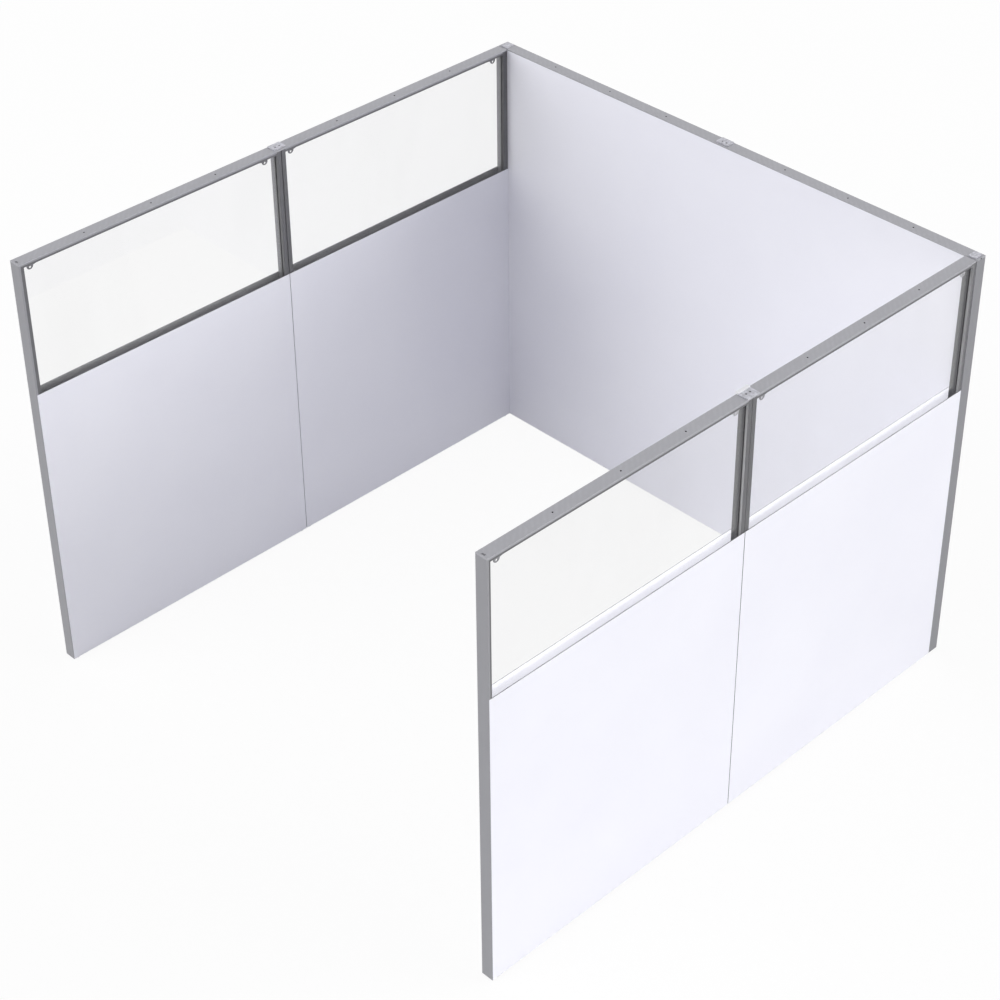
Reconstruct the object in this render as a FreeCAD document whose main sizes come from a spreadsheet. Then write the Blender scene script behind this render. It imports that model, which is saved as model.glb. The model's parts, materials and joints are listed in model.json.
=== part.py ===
import FreeCAD, Part
import math
import os
import Sketcher

# Cubicle workstation: six panel bays in a U, two to a wall, open at the front (-Y).
# The origin is on the floor at the centre of the footprint, +X to the right, +Z up.
# Each wall has its own axes: x along the wall, y from its inner face outwards, z up from the panels' base.

doc = FreeCAD.newDocument("CubicleWorkstation")

# Driving dimensions in millimetres

SIZES = (
    ("bay_width", 1219.2, "width of one panel bay, seam to seam"),
    ("wall_thickness", 50.8, "inner skin face to outer skin face"),
    ("panel_height", 1828.8, "base of a panel to the top of its top cap"),
    ("base_height", 8.0, "underside of the panels above the floor"),
    ("ledge_height", 1270.0, "base of a panel to the ledge under its window"),
    ("skin_thickness", 3.0, "laminate sheet on each face of a panel"),
    ("seam_gap", 3.0, "gap between the skins of two panels of a side wall"),
    ("rail_width", 15.0, "face width of the top rail and of the right-hand wall's end stiles"),
    ("stile_width", 21.0, "face width of the other stiles"),
    ("corner_stile_width", 45.0, "face width of the stile at the ends of the back wall"),
    ("bottom_rail_height", 40.0, "face height of the bottom rail"),
    ("pocket_depth", 70.0, "open pocket between the skins, from the ledge down to the sill rail"),
    ("sill_height", 20.0, "face height of the rail under a window"),
    ("joint_groove_width", 5.0, "shadow groove over the joint of two stiles of a side wall"),
    ("joint_groove_depth", 4.0, "depth of that shadow groove"),
    ("groove_width", 12.0, "glazing groove of the frame section"),
    ("groove_depth", 7.0, "depth of the glazing groove"),
    ("channel_width", 30.0, "channel along the outside of the frame section"),
    ("channel_depth", 5.0, "depth of the outside channel"),
    ("bottom_channel_depth", 28.0, "depth of the channel under the bottom rail"),
    ("glide_block_length", 60.0, "solid end of the bottom rail that takes a glide"),
    ("glass_thickness", 6.0, "window pane"),
    ("glass_engagement", 5.0, "how far the pane reaches into the groove"),
    ("glass_offset", 7.5, "pane from the middle of the wall, towards +X"),
    ("top_cap_thickness", 5.0, "cap strip along the top rail"),
    ("end_cap_thickness", 2.0, "cover strip on a free wall end"),
    ("end_cap_flange", 8.0, "width of the cover strip's flanges beside a window"),
    ("screw_head_diameter", 8.0, "cap screw head"),
    ("screw_head_height", 1.6, "cap screw head"),
    ("screw_shank_diameter", 5.0, "cap screw shank"),
    ("screw_clearance", 0.2, "gap round a screw's head and shank, on the radius"),
    ("counterbore_depth", 2.0, "seat of a screw head"),
    ("end_screw_inset", 10.0, "end screw from the end of its top cap"),
    ("end_slot_length", 16.0, "slot of the screw at a free wall end, across the wall"),
    ("accessory_hole_diameter", 6.5, "open hole in a top cap for an accessory's bolt"),
    ("corner_gap", 3.0, "gap between a side wall's last top cap and the back wall's"),
    ("splice_length", 60.0, "plate over a seam, along the wall"),
    ("splice_width", 41.0, "plate over a seam, across the wall"),
    ("splice_thickness", 3.5, "plates on the top caps"),
    ("plate_corner_radius", 3.0, "rounded corners of the plates"),
    ("corner_plate_length", 34.0, "plate on a back corner, along the back wall"),
    ("corner_plate_inset", 9.0, "plate on a back corner from the end of the back wall"),
    ("spigot_diameter", 4.8, "peg under a corner plate"),
    ("spigot_length", 7.0, "peg under a corner plate"),
    ("hook_length", 60.0, "hook-over block on the right-hand wall, along the wall"),
    ("hook_overhang", 6.0, "hook-over block beyond the inner face"),
    ("hook_rise", 8.0, "hook-over block above the top cap"),
    ("hook_drop", 30.0, "hook-over block below the top of the wall"),
    ("hook_clearance", 0.8, "hook-over block to the plate beside it"),
    ("hook_rounding", 2.5, "rounded edge of the hook-over block"),
    ("clip_width", 28.0, "glazing clip along the rail"),
    ("clip_drop", 17.0, "tab of a clip below the top rail"),
    ("clip_wing", 14.0, "slanted wing of a clip along the rail"),
    ("clip_thickness", 2.0, "glazing clip sheet"),
    ("clip_clearance", 0.3, "foot of a clip to the pane"),
    ("clip_front_offset", 26.0, "centre of a clip from the stile at the front end of its window"),
    ("clip_rear_offset", 62.0, "centre of a clip from the stile at the rear end of its window"),
    ("clip_hole_diameter", 9.0, "hole in the tab of a clip"),
    ("bolt_diameter", 6.0, "bolt that joins two stiles"),
    ("bolt_head_diameter", 10.5, "head of the stile bolt"),
    ("bolt_head_height", 3.3, "head of the stile bolt"),
    ("bolt_clearance", 0.2, "gap round a stile bolt, on the radius"),
    ("bolt_first_height", 250.0, "lowest stile bolt above the base"),
    ("bolt_sill_drop", 30.0, "highest stile bolt below the sill rail"),
    ("corner_bolt_bite", 20.0, "thread of a corner bolt in the corner stile"),
    ("glide_inset", 22.0, "glide from the end of its frame"),
    ("pad_diameter", 38.0, "foot of a levelling glide"),
    ("pad_height", 5.0, "foot of a levelling glide"),
    ("pad_chamfer", 1.5, "bevel on the foot of a glide"),
    ("collar_diameter", 14.0, "shoulder of a glide that stops on the bottom rail"),
    ("stem_diameter", 8.0, "threaded stem of a glide"),
    ("stem_length", 32.0, "stem of a glide inside the bottom rail"),
    ("stem_clearance", 0.05, "gap round the stem, on the radius"),
    ("stem_headroom", 2.0, "hole above the end of the stem"),
    ("core_rib_thickness", 3.0, "walls of the cellular core board"),
    ("cut_overrun", 5.0, "how far a cutting shape passes the solid that it cuts"),
)
ACCESSORY_HOLE_SHARES = (1 / 4, 1 / 2, 3 / 4)
BOLT_COUNT = 3
CORE_COLUMNS = 8
CORE_ROWS_SOLID = 12
CORE_ROWS_GLAZED = 8
FULL_TURN = 360.0
QUARTER_TURN = 90.0
ZERO = "0"

sheet = doc.addObject("Spreadsheet::Sheet", "Sizes")
for row, (alias, value, note) in enumerate(SIZES, start=1):
    sheet.set("A%d" % row, alias)
    sheet.set("B%d" % row, str(value))
    sheet.set("C%d" % row, note)
    sheet.setAlias("B%d" % row, alias)
doc.recompute()


def size(alias):
    """Give one driving dimension as a plain number."""
    return float(sheet.get(alias))


# Expressions that several pieces share

FRAME_HEIGHT = "(Sizes.panel_height - Sizes.top_cap_thickness)"
FRAME_DEPTH = "(Sizes.wall_thickness - 2 * Sizes.skin_thickness)"
MID_DEPTH = "(Sizes.wall_thickness / 2)"
WINDOW_TOP = "(%s - Sizes.rail_width)" % FRAME_HEIGHT
WINDOW_BOTTOM = "(Sizes.ledge_height - Sizes.pocket_depth)"
WEB_DEPTH = "(Sizes.rail_width - Sizes.groove_depth)"
PEG_INSET = "(Sizes.corner_plate_inset + Sizes.corner_plate_length / 2)"


class Bay:
    """One panel bay: the wall it stands in, where its frame starts and ends, and its two stiles."""

    def __init__(self, name, wall, order, capped, start_stile, end_stile, glazed):
        self.name = name
        self.wall = wall
        self.order = order
        self.start_capped = capped == "start"
        self.end_capped = capped == "end"
        self.stile_names = (start_stile, end_stile)
        self.start_stile = "Sizes." + start_stile
        self.end_stile = "Sizes." + end_stile
        self.glazed = glazed
        lead = " + Sizes.end_cap_thickness" if self.start_capped else ""
        tail = " - Sizes.end_cap_thickness" if self.end_capped else ""
        self.start = "(%d * Sizes.bay_width%s)" % (order, lead)
        self.end = "(%d * Sizes.bay_width%s)" % (order + 1, tail)
        self.length = "(%s - %s)" % (self.end, self.start)
        self.inner_start = self.start_stile
        self.inner_end = "(%s - %s)" % (self.length, self.end_stile)
        self.lower_top = "(%s - Sizes.sill_height)" % WINDOW_BOTTOM if glazed else WINDOW_TOP
        self.pane_depth = "(%s %s Sizes.glass_offset)" % (MID_DEPTH, "+" if wall == "right" else "-")


BAYS = (
    Bay("left_front", "left", 0, "start", "stile_width", "stile_width", True),
    Bay("left_rear", "left", 1, "", "stile_width", "stile_width", True),
    Bay("back_left", "back", 0, "start", "corner_stile_width", "stile_width", False),
    Bay("back_right", "back", 1, "end", "stile_width", "corner_stile_width", False),
    Bay("right_rear", "right", 0, "", "rail_width", "stile_width", True),
    Bay("right_front", "right", 1, "end", "stile_width", "rail_width", True),
)
WALL_TURNS = {"left": QUARTER_TURN, "back": 0.0, "right": -QUARTER_TURN}


def wall_place(wall, along, depth):
    """Give the expressions for x and y of a point of a wall, from its own two distances."""
    half_depth = "(Sizes.bay_width + Sizes.wall_thickness / 2)"
    if wall == "left":
        return "-Sizes.bay_width + Sizes.wall_thickness - (%s)" % depth, "-%s + %s" % (half_depth, along)
    if wall == "back":
        return "-Sizes.bay_width + %s" % along, "%s - Sizes.wall_thickness + %s" % (half_depth, depth)
    return ("Sizes.bay_width - Sizes.wall_thickness + %s" % depth,
            "%s - Sizes.wall_thickness - (%s)" % (half_depth, along))


def stand_in_wall(piece, wall, along=ZERO, depth=ZERO, up=ZERO):
    """Turn a piece that is modelled in a wall's axes into its wall and bind its place."""
    turn = FreeCAD.Rotation(FreeCAD.Vector(0, 0, 1), WALL_TURNS[wall])
    piece.Placement = FreeCAD.Placement(FreeCAD.Vector(0, 0, 0), turn)
    across, back = wall_place(wall, along, depth)
    piece.setExpression("Placement.Base.x", across)
    piece.setExpression("Placement.Base.y", back)
    piece.setExpression("Placement.Base.z", "Sizes.base_height + (%s)" % up)


def wall_placement(wall, along, depth, up):
    """Give the placement of a copy in a wall, from plain numbers."""
    half_depth = size("bay_width") + size("wall_thickness") / 2
    inner_back = half_depth - size("wall_thickness")
    spots = {
        "left": (size("wall_thickness") - size("bay_width") - depth, along - half_depth),
        "back": (along - size("bay_width"), inner_back + depth),
        "right": (size("bay_width") - size("wall_thickness") + depth, inner_back - along),
    }
    across, back = spots[wall]
    turn = FreeCAD.Rotation(FreeCAD.Vector(0, 0, 1), WALL_TURNS[wall])
    return FreeCAD.Placement(FreeCAD.Vector(across, back, size("base_height") + up), turn)


# Sketch and feature helpers

def new_body(label):
    """Add an empty body that carries a sub-part's name."""
    body = doc.addObject("PartDesign::Body", label)
    body.Label = label
    return body


def sketch_on(body, name, role, offset=ZERO):
    """Add a sketch on one of the body's own origin planes, moved along the plane's normal."""
    sketch = body.newObject("Sketcher::SketchObject", body.Name + "_" + name)
    plane = next(item for item in body.Origin.OriginFeatures if item.Role == role)
    sketch.AttachmentSupport = (plane, [""])
    sketch.MapMode = "FlatFace"
    if offset != ZERO:
        sketch.setExpression("AttachmentOffset.Base.z", offset)
    return sketch


def worked_out(sketch, expression):
    """Give the present value of an expression."""
    result = sketch.evalExpression(expression)
    return float(getattr(result, "Value", result))


def spot(sketch, across, up):
    """Give the present place of a point whose two distances are expressions."""
    return FreeCAD.Vector(worked_out(sketch, across), worked_out(sketch, up), 0)


def pin_distance(sketch, kind, curve, vertex, place):
    """Hold one distance of a sketch point from the origin; a leading minus is a negative place."""
    if place == ZERO:
        axis = -2 if kind == "DistanceX" else -1
        sketch.addConstraint(Sketcher.Constraint("PointOnObject", curve, vertex, axis))
        return
    ends = (-1, 1, curve, vertex)
    if place.startswith("-"):
        ends = (curve, vertex, -1, 1)
        place = place[1:]
    index = sketch.addConstraint(Sketcher.Constraint(kind, *ends, worked_out(sketch, place)))
    sketch.setExpression("Constraints[%d]" % index, place)


def pin_point(sketch, curve, vertex, across, up):
    """Hold a sketch point at the place that two expressions give."""
    pin_distance(sketch, "DistanceX", curve, vertex, across)
    pin_distance(sketch, "DistanceY", curve, vertex, up)


def draw_polygon(sketch, points):
    """Draw a closed outline through points, each a pair of expressions."""
    first = sketch.GeometryCount
    count = len(points)
    spots = [spot(sketch, across, up) for across, up in points]
    for index in range(count):
        sketch.addGeometry(Part.LineSegment(spots[index], spots[(index + 1) % count]), False)
    for index in range(count):
        follower = first + (index + 1) % count
        sketch.addConstraint(Sketcher.Constraint("Coincident", first + index, 2, follower, 1))
    for index, (across, up) in enumerate(points):
        pin_point(sketch, first + index, 1, across, up)


def draw_rectangle(sketch, low_x, low_y, high_x, high_y):
    """Draw an upright rectangle between two corners."""
    draw_polygon(sketch, ((low_x, low_y), (high_x, low_y), (high_x, high_y), (low_x, high_y)))


def draw_circle(sketch, across, up, diameter):
    """Draw a circle whose centre and diameter are expressions."""
    index = sketch.GeometryCount
    width = worked_out(sketch, diameter)
    sketch.addGeometry(Part.Circle(spot(sketch, across, up), FreeCAD.Vector(0, 0, 1), width / 2), False)
    pin_point(sketch, index, 3, across, up)
    row = sketch.addConstraint(Sketcher.Constraint("Diameter", index, width))
    sketch.setExpression("Constraints[%d]" % row, diameter)


def draw_cross_slot(sketch, across, middle, length, width):
    """Draw a round-ended slot that runs across the wall, centred on two expressions."""
    first = sketch.GeometryCount
    straight = "(%s - %s) / 2" % (length, width)
    low_end = "(%s - %s)" % (middle, straight)
    high_end = "(%s + %s)" % (middle, straight)
    near_side = "(%s - %s / 2)" % (across, width)
    far_side = "(%s + %s / 2)" % (across, width)
    upright = FreeCAD.Vector(0, 0, 1)
    radius = worked_out(sketch, width) / 2
    low_circle = Part.Circle(spot(sketch, across, low_end), upright, radius)
    high_circle = Part.Circle(spot(sketch, across, high_end), upright, radius)
    sketch.addGeometry(Part.LineSegment(spot(sketch, far_side, low_end), spot(sketch, far_side, high_end)), False)
    sketch.addGeometry(Part.ArcOfCircle(high_circle, 0, math.pi), False)
    sketch.addGeometry(Part.LineSegment(spot(sketch, near_side, high_end), spot(sketch, near_side, low_end)), False)
    sketch.addGeometry(Part.ArcOfCircle(low_circle, math.pi, 2 * math.pi), False)
    for index in range(4):
        follower = first + (index + 1) % 4
        sketch.addConstraint(Sketcher.Constraint("Tangent", first + index, 2, follower, 1))
    pin_point(sketch, first + 1, 3, across, high_end)
    pin_distance(sketch, "DistanceY", first + 3, 3, low_end)
    row = sketch.addConstraint(Sketcher.Constraint("Diameter", first + 1, 2 * radius))
    sketch.setExpression("Constraints[%d]" % row, width)
    sketch.addConstraint(Sketcher.Constraint("Vertical", first))


def extrude(body, kind, sketch, length, symmetric=False, backwards=False):
    """Pad or pocket a sketch by a length that is an expression."""
    feature = body.newObject("PartDesign::" + kind, sketch.Name + "_" + kind.lower())
    feature.Profile = (sketch, [""])
    feature.SideType = "Symmetric" if symmetric else "One side"
    feature.Reversed = backwards
    feature.setExpression("Length", length)
    return feature


def new_box(label, length, width, height):
    """Add a box with bound sides."""
    box = doc.addObject("Part::Box", label)
    box.Label = label
    box.setExpression("Length", length)
    box.setExpression("Width", width)
    box.setExpression("Height", height)
    return box


# Frames

def mid_sketch(body, name, depth=MID_DEPTH):
    """Add a sketch on the plane halfway through the wall, or at another depth."""
    return sketch_on(body, name, "XZ_Plane", "-%s" % depth)


def add_outer_channel(body, bay):
    """Cut the channel that runs up both outsides of the frame and along its top."""
    past = "-Sizes.cut_overrun"
    far = "(%s + Sizes.cut_overrun)" % bay.length
    above = "(%s + Sizes.cut_overrun)" % FRAME_HEIGHT
    near_web = "Sizes.channel_depth"
    far_web = "(%s - Sizes.channel_depth)" % bay.length
    top_web = "(%s - Sizes.channel_depth)" % FRAME_HEIGHT
    low = "Sizes.bottom_rail_height"
    sketch = mid_sketch(body, "outer_channel")
    draw_polygon(sketch, ((past, low), (past, above), (far, above), (far, low),
                          (far_web, low), (far_web, top_web), (near_web, top_web), (near_web, low)))
    extrude(body, "Pocket", sketch, "Sizes.channel_width", symmetric=True)


def add_groove(body, name, bay, bottom, top, depth=MID_DEPTH):
    """Cut the groove that runs round the inside of an opening."""
    sketch = mid_sketch(body, name, depth)
    draw_rectangle(sketch,
                   "(%s - Sizes.groove_depth)" % bay.inner_start, "(%s - Sizes.groove_depth)" % bottom,
                   "(%s + Sizes.groove_depth)" % bay.inner_end, "(%s + Sizes.groove_depth)" % top)
    extrude(body, "Pocket", sketch, "Sizes.groove_width", symmetric=True)


def add_joint_groove(body, bay):
    """Rebate both faces of the stile at a side wall's seam, so that the joint lies in a shadow groove."""
    half_width = "(Sizes.joint_groove_width / 2)"
    low, high = ZERO, half_width
    if bay.order == 0:
        low, high = "(%s - %s)" % (bay.length, half_width), bay.length
    near_face = "Sizes.skin_thickness"
    far_face = "(Sizes.wall_thickness - Sizes.skin_thickness)"
    sketch = sketch_on(body, "joint_groove", "XY_Plane")
    draw_rectangle(sketch, low, near_face, high, "(%s + Sizes.joint_groove_depth)" % near_face)
    draw_rectangle(sketch, low, "(%s - Sizes.joint_groove_depth)" % far_face, high, far_face)
    extrude(body, "Pocket", sketch, FRAME_HEIGHT, backwards=True)


def add_bottom_channel(body, bay):
    """Hollow the bottom rail from below, between the two blocks that take the glides."""
    sketch = mid_sketch(body, "bottom_channel")
    draw_rectangle(sketch, "Sizes.glide_block_length", "-Sizes.cut_overrun",
                   "(%s - Sizes.glide_block_length)" % bay.length, "Sizes.bottom_channel_depth")
    extrude(body, "Pocket", sketch, "Sizes.channel_width", symmetric=True)


def add_glide_holes(body, bay):
    """Bore the two blind holes for the glides' stems, upwards from the base."""
    sketch = sketch_on(body, "glide_holes", "XY_Plane")
    bore = "Sizes.stem_diameter + 2 * Sizes.stem_clearance"
    for along in ("Sizes.glide_inset", "(%s - Sizes.glide_inset)" % bay.length):
        draw_circle(sketch, along, MID_DEPTH, bore)
    extrude(body, "Pocket", sketch, "Sizes.stem_length + Sizes.stem_headroom", backwards=True)


def accessory_hole_places():
    """Give the open holes of a top cap, measured along it."""
    return ["(%r * Sizes.bay_width)" % share for share in ACCESSORY_HOLE_SHARES]


def end_screw_places(bay):
    """Give the screws and pegs at the ends of a bay's top cap, measured along it."""
    near = "Sizes.end_screw_inset"
    far = "(Sizes.bay_width - Sizes.end_screw_inset)"
    places = {
        "left_rear": [near],
        "right_rear": [far],
        "back_left": [PEG_INSET, far],
        "back_right": [near, "(Sizes.bay_width - %s)" % PEG_INSET],
    }
    return places.get(bay.name, [near, far])


def add_top_holes(body, bay):
    """Bore the web of the top rail for the accessories' bolts and the end screws."""
    lead = "%d * Sizes.bay_width - %s" % (bay.order, bay.start)
    sketch = sketch_on(body, "top_holes", "XY_Plane", FRAME_HEIGHT)
    for place in accessory_hole_places():
        draw_circle(sketch, "(%s + %s)" % (place, lead), MID_DEPTH, "Sizes.accessory_hole_diameter")
    for place in end_screw_places(bay):
        draw_circle(sketch, "(%s + %s)" % (place, lead), MID_DEPTH, "Sizes.screw_shank_diameter")
    extrude(body, "Pocket", sketch, WEB_DEPTH)


def bolt_height(index):
    """Give the height of one stile bolt above the base; the bolts are evenly spaced up to the sill rail."""
    span = "(%s - Sizes.sill_height - Sizes.bolt_sill_drop - Sizes.bolt_first_height)" % WINDOW_BOTTOM
    return "(Sizes.bolt_first_height + %d * %s / %d)" % (index, span, BOLT_COUNT - 1)


def add_stile_bolt_holes(body, name, middle, width):
    """Bore the bolt holes through one stile, along the wall."""
    sketch = sketch_on(body, name, "YZ_Plane", middle)
    for index in range(BOLT_COUNT):
        draw_circle(sketch, MID_DEPTH, bolt_height(index), "Sizes.bolt_diameter + 2 * Sizes.bolt_clearance")
    extrude(body, "Pocket", sketch, "%s + 2 * Sizes.cut_overrun" % width, symmetric=True)


def add_corner_bolt_holes(body, middle):
    """Bore the holes in a corner stile for the bolts that come through a side wall's last stile."""
    sketch = sketch_on(body, "corner_bolt_holes", "XZ_Plane", "-Sizes.skin_thickness")
    for index in range(BOLT_COUNT):
        draw_circle(sketch, middle, bolt_height(index), "Sizes.bolt_diameter + 2 * Sizes.bolt_clearance")
    extrude(body, "Pocket", sketch, "Sizes.corner_bolt_bite + Sizes.bolt_clearance")


def make_frame(bay):
    """Make the welded frame of one bay: two stiles, top and bottom rails and the sill rail if glazed."""
    body = new_body("frame_" + bay.name)
    outline = mid_sketch(body, "outline")
    draw_rectangle(outline, ZERO, ZERO, bay.length, FRAME_HEIGHT)
    draw_rectangle(outline, bay.inner_start, "Sizes.bottom_rail_height", bay.inner_end, bay.lower_top)
    if bay.glazed:
        draw_rectangle(outline, bay.inner_start, WINDOW_BOTTOM, bay.inner_end, WINDOW_TOP)
    extrude(body, "Pad", outline, FRAME_DEPTH, symmetric=True)
    add_outer_channel(body, bay)
    side_groove_bottom = "(Sizes.bottom_rail_height + Sizes.groove_depth)"
    side_groove_top = "(%s - Sizes.groove_depth)" % bay.lower_top
    add_groove(body, "lower_groove", bay, side_groove_bottom, side_groove_top)
    if bay.glazed:
        add_groove(body, "window_groove", bay, WINDOW_BOTTOM, WINDOW_TOP, bay.pane_depth)
        add_joint_groove(body, bay)
    add_bottom_channel(body, bay)
    add_glide_holes(body, bay)
    add_top_holes(body, bay)
    if not bay.start_capped:
        add_stile_bolt_holes(body, "start_bolt_holes", "(%s / 2)" % bay.start_stile, bay.start_stile)
    if not bay.end_capped:
        middle = "(%s - %s / 2)" % (bay.length, bay.end_stile)
        add_stile_bolt_holes(body, "end_bolt_holes", middle, bay.end_stile)
    if bay.wall == "back":
        near = "(%s - Sizes.end_cap_thickness)" % MID_DEPTH
        add_corner_bolt_holes(body, near if bay.start_capped else "(%s - %s)" % (bay.length, near))
    stand_in_wall(body, bay.wall, along=bay.start)


# Skins, core boards and covers

def make_side_skins(bay):
    """Make the two laminate sheets of a side-wall bay, up to the ledge under its window."""
    at_start = bay.order == 1
    along = "%s + Sizes.seam_gap / 2" % bay.start if at_start else bay.start
    length = "%s - Sizes.seam_gap / 2" % bay.length
    for side, depth in (("inner", ZERO), ("outer", "Sizes.wall_thickness - Sizes.skin_thickness")):
        skin = new_box("%s_skin_%s" % (side, bay.name), length, "Sizes.skin_thickness", "Sizes.ledge_height")
        stand_in_wall(skin, bay.wall, along="(%s)" % along, depth="(%s)" % depth)


def make_back_skins():
    """Make the two full-width laminate sheets of the back wall; the inner one has the corner bolts' holes."""
    length = "(2 * Sizes.bay_width - 2 * Sizes.end_cap_thickness)"
    near = "(%s - Sizes.end_cap_thickness)" % MID_DEPTH
    skin = new_body("inner_skin_back")
    outline = sketch_on(skin, "outline", "XZ_Plane")
    draw_rectangle(outline, ZERO, ZERO, length, FRAME_HEIGHT)
    for middle in (near, "(%s - %s)" % (length, near)):
        for index in range(BOLT_COUNT):
            draw_circle(outline, middle, bolt_height(index), "Sizes.bolt_diameter + 2 * Sizes.bolt_clearance")
    extrude(skin, "Pad", outline, "Sizes.skin_thickness", backwards=True)
    stand_in_wall(skin, "back", along="Sizes.end_cap_thickness")
    outer = new_box("outer_skin_back", length, "Sizes.skin_thickness", FRAME_HEIGHT)
    stand_in_wall(outer, "back", along="Sizes.end_cap_thickness",
                  depth="(Sizes.wall_thickness - Sizes.skin_thickness)")


def make_core(bay):
    """Make the cellular board between a bay's skins, with equal cells in rows and columns."""
    rows = CORE_ROWS_GLAZED if bay.glazed else CORE_ROWS_SOLID
    rib = "Sizes.core_rib_thickness"
    width = "(%s - %s)" % (bay.inner_end, bay.inner_start)
    height = "(%s - Sizes.bottom_rail_height)" % bay.lower_top
    cell_pitch = "((%s - %s) / %d)" % (width, rib, CORE_COLUMNS)
    row_pitch = "((%s - %s) / %d)" % (height, rib, rows)
    body = new_body("core_" + bay.name)
    outline = mid_sketch(body, "outline")
    draw_rectangle(outline, ZERO, ZERO, width, height)
    extrude(body, "Pad", outline, FRAME_DEPTH, symmetric=True)
    cell = mid_sketch(body, "cell")
    draw_rectangle(cell, rib, rib, cell_pitch, row_pitch)
    pocket = extrude(body, "Pocket", cell, "%s + 2 * Sizes.cut_overrun" % FRAME_DEPTH, symmetric=True)
    doc.recompute()
    cells = body.newObject("PartDesign::LinearPattern", body.Name + "_cells")
    cells.Originals = [pocket]
    cells.Direction = (cell, ["H_Axis"])
    cells.Mode = "Spacing"
    cells.Occurrences = CORE_COLUMNS
    cells.setExpression("Offset", cell_pitch)
    cells.Direction2 = (cell, ["V_Axis"])
    cells.Mode2 = "Spacing"
    cells.Occurrences2 = rows
    cells.setExpression("Offset2", row_pitch)
    body.Tip = cells
    stand_in_wall(body, bay.wall, along="(%s + %s)" % (bay.start, bay.inner_start),
                  up="Sizes.bottom_rail_height")


def make_top_cap(bay):
    """Make the cap strip of one bay, with its open holes and the seats of its end screws."""
    body = new_body("top_cap_" + bay.name)
    low, high = ZERO, "Sizes.bay_width"
    if bay.name == "left_rear":
        high = "(Sizes.bay_width - Sizes.corner_gap)"
    if bay.name == "right_rear":
        low = "Sizes.corner_gap"
    outline = sketch_on(body, "outline", "XY_Plane")
    draw_rectangle(outline, low, ZERO, high, "Sizes.wall_thickness")
    extrude(body, "Pad", outline, "Sizes.top_cap_thickness")
    through = sketch_on(body, "through_holes", "XY_Plane")
    for along in accessory_hole_places():
        draw_circle(through, along, MID_DEPTH, "Sizes.accessory_hole_diameter")
    seats = sketch_on(body, "head_seats", "XY_Plane", "Sizes.top_cap_thickness")
    shank_hole = "(Sizes.screw_shank_diameter + 2 * Sizes.screw_clearance)"
    seat = "(Sizes.screw_head_diameter + 2 * Sizes.screw_clearance)"
    slotted = {"left_front": 0, "right_front": 1}.get(bay.name)
    for index, along in enumerate(end_screw_places(bay)):
        if index == slotted:
            draw_cross_slot(through, along, MID_DEPTH, "(Sizes.end_slot_length - %s + %s)" % (seat, shank_hole),
                            shank_hole)
            draw_cross_slot(seats, along, MID_DEPTH, "Sizes.end_slot_length", seat)
        else:
            draw_circle(through, along, MID_DEPTH, shank_hole)
            draw_circle(seats, along, MID_DEPTH, seat)
    extrude(body, "Pocket", through, "Sizes.top_cap_thickness", backwards=True)
    extrude(body, "Pocket", seats, "Sizes.counterbore_depth")
    stand_in_wall(body, bay.wall, along="(%d * Sizes.bay_width)" % bay.order, up=FRAME_HEIGHT)


def make_end_cap(label, wall, along, flange_side=None):
    """Make the cover strip on a free end of a wall, with a flange on each face of the frame beside a window."""
    cap = new_body(label)
    thickness = "Sizes.end_cap_thickness"
    strip = sketch_on(cap, "strip", "XY_Plane")
    draw_rectangle(strip, ZERO, ZERO, thickness, "Sizes.wall_thickness")
    extrude(cap, "Pad", strip, FRAME_HEIGHT)
    if flange_side:
        low, high = thickness, "Sizes.end_cap_flange"
        if flange_side == "before":
            low, high = "-(Sizes.end_cap_flange - Sizes.end_cap_thickness)", ZERO
        flanges = sketch_on(cap, "flanges", "XY_Plane", "Sizes.ledge_height")
        far_face = "(Sizes.wall_thickness - Sizes.skin_thickness)"
        draw_rectangle(flanges, low, ZERO, high, "Sizes.skin_thickness")
        draw_rectangle(flanges, low, far_face, high, "Sizes.wall_thickness")
        extrude(cap, "Pad", flanges, "%s - Sizes.ledge_height" % FRAME_HEIGHT)
    stand_in_wall(cap, wall, along=along)


# Windows

def make_pane(bay):
    """Make the window pane, its edges inside the frame's groove."""
    reach = "Sizes.glass_engagement"
    length = "(%s - %s + 2 * %s)" % (bay.inner_end, bay.inner_start, reach)
    height = "(%s - %s + 2 * %s)" % (WINDOW_TOP, WINDOW_BOTTOM, reach)
    pane = new_box("glass_" + bay.name, length, "Sizes.glass_thickness", height)
    stand_in_wall(pane, bay.wall, along="(%s + %s - %s)" % (bay.start, bay.inner_start, reach),
                  depth="(%s - Sizes.glass_thickness / 2)" % bay.pane_depth, up="%s - %s" % (WINDOW_BOTTOM, reach))


def make_gasket(bay):
    """Make the U-section rubber that holds the pane in its groove."""
    body = new_body("gasket_" + bay.name)
    ring = mid_sketch(body, "ring", bay.pane_depth)
    depth = "Sizes.groove_depth"
    draw_rectangle(ring, "(%s - %s)" % (bay.inner_start, depth), "(%s - %s)" % (WINDOW_BOTTOM, depth),
                   "(%s + %s)" % (bay.inner_end, depth), "(%s + %s)" % (WINDOW_TOP, depth))
    draw_rectangle(ring, bay.inner_start, WINDOW_BOTTOM, bay.inner_end, WINDOW_TOP)
    extrude(body, "Pad", ring, "Sizes.groove_width", symmetric=True)
    slot = mid_sketch(body, "slot", bay.pane_depth)
    reach = "Sizes.glass_engagement"
    draw_rectangle(slot, "(%s - %s)" % (bay.inner_start, reach), "(%s - %s)" % (WINDOW_BOTTOM, reach),
                   "(%s + %s)" % (bay.inner_end, reach), "(%s + %s)" % (WINDOW_TOP, reach))
    extrude(body, "Pocket", slot, "Sizes.glass_thickness", symmetric=True)
    stand_in_wall(body, bay.wall, along=bay.start)


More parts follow.
